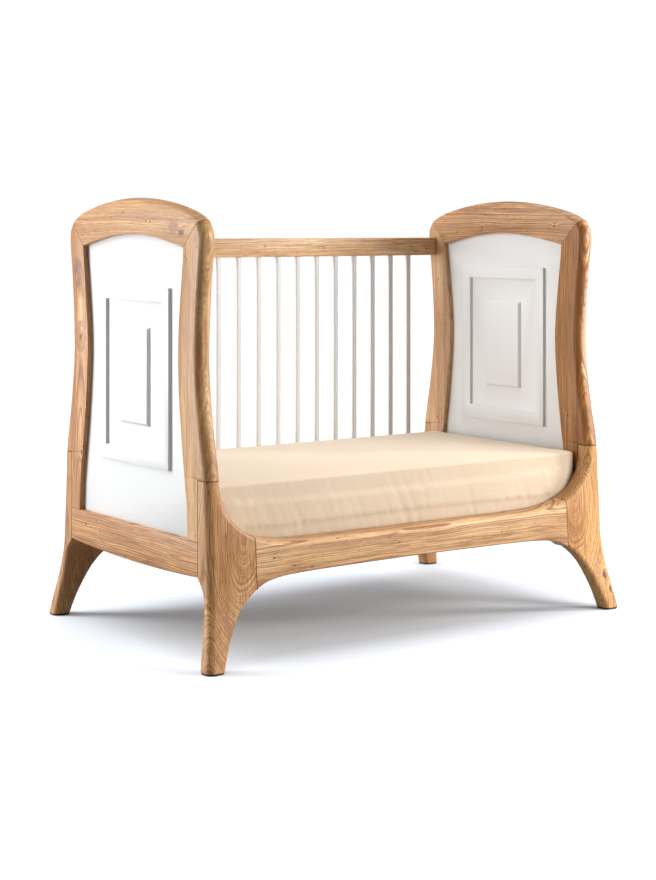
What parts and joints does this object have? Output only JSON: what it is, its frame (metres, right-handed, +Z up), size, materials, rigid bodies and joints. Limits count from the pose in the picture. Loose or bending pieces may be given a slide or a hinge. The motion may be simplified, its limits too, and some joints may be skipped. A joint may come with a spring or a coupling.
{
  "type": "baby crib",
  "caption": "Baby crib open at the front, with arched oak end frames around stepped white panels, a slatted back, splayed legs and a fitted mattress.",
  "frame": {"origin": "on the floor, under the middle of the crib", "axes": "+X along the length, towards the end on the right for someone who faces the open front; -Y out of the open front; +Z up"},
  "size_m": [1.4642, 0.9376, 1.2455],
  "materials": {
    "oiled_oak": "oiled, satin",
    "white_paint": "white satin paint",
    "cream_cotton": "plain woven cotton sheet",
    "black_glide": "matte",
    "dowel_birch": "unfinished"
  },
  "bodies": {
    "frame": {"left_front_post": "oiled_oak", "left_front_leg": "oiled_oak", "left_front_glide": "black_glide", "left_front_rail_dowel": "dowel_birch", "left_rear_post": "oiled_oak", "left_rear_leg": "oiled_oak", "left_rear_glide": "black_glide", "left_rear_rail_dowel": "dowel_birch", "left_arch_rail": "oiled_oak", "left_end_rail": "oiled_oak", "left_panel": "white_paint", "left_gate_top_dowel": "dowel_birch", "left_gate_bottom_dowel": "dowel_birch", "right_front_post": "oiled_oak", "right_front_leg": "oiled_oak", "right_front_glide": "black_glide", "right_front_rail_dowel": "dowel_birch", "right_rear_post": "oiled_oak", "right_rear_leg": "oiled_oak", "right_rear_glide": "black_glide", "right_rear_rail_dowel": "dowel_birch", "right_arch_rail": "oiled_oak", "right_end_rail": "oiled_oak", "right_panel": "white_paint", "right_gate_top_dowel": "dowel_birch", "right_gate_bottom_dowel": "dowel_birch", "front_rail": "oiled_oak", "rear_rail": "oiled_oak", "gate_top_rail": "oiled_oak", "gate_bottom_rail": "oiled_oak", "front_cleat": "oiled_oak", "rear_cleat": "oiled_oak", "gate_slat_01": "white_paint", "gate_slat_02": "white_paint", "gate_slat_03": "white_paint", "gate_slat_04": "white_paint", "gate_slat_05": "white_paint", "gate_slat_06": "white_paint", "gate_slat_07": "white_paint", "gate_slat_08": "white_paint", "gate_slat_09": "white_paint", "gate_slat_10": "white_paint", "gate_slat_11": "white_paint", "gate_slat_12": "white_paint", "gate_slat_13": "white_paint", "gate_slat_14": "white_paint", "gate_slat_15": "white_paint", "gate_slat_16": "white_paint", "base_slat_1": "oiled_oak", "base_slat_2": "oiled_oak", "base_slat_3": "oiled_oak", "base_slat_4": "oiled_oak", "base_slat_5": "oiled_oak", "base_slat_6": "oiled_oak", "base_slat_7": "oiled_oak", "base_slat_8": "oiled_oak"},
    "mattress": {"mattress": "cream_cotton"}
  },
  "joints": [
    {"name": "mattress_lift", "type": "slide", "parent": "frame", "child": "mattress", "axis": [0, 0, 1], "range_m": [0, 1]}
  ]
}
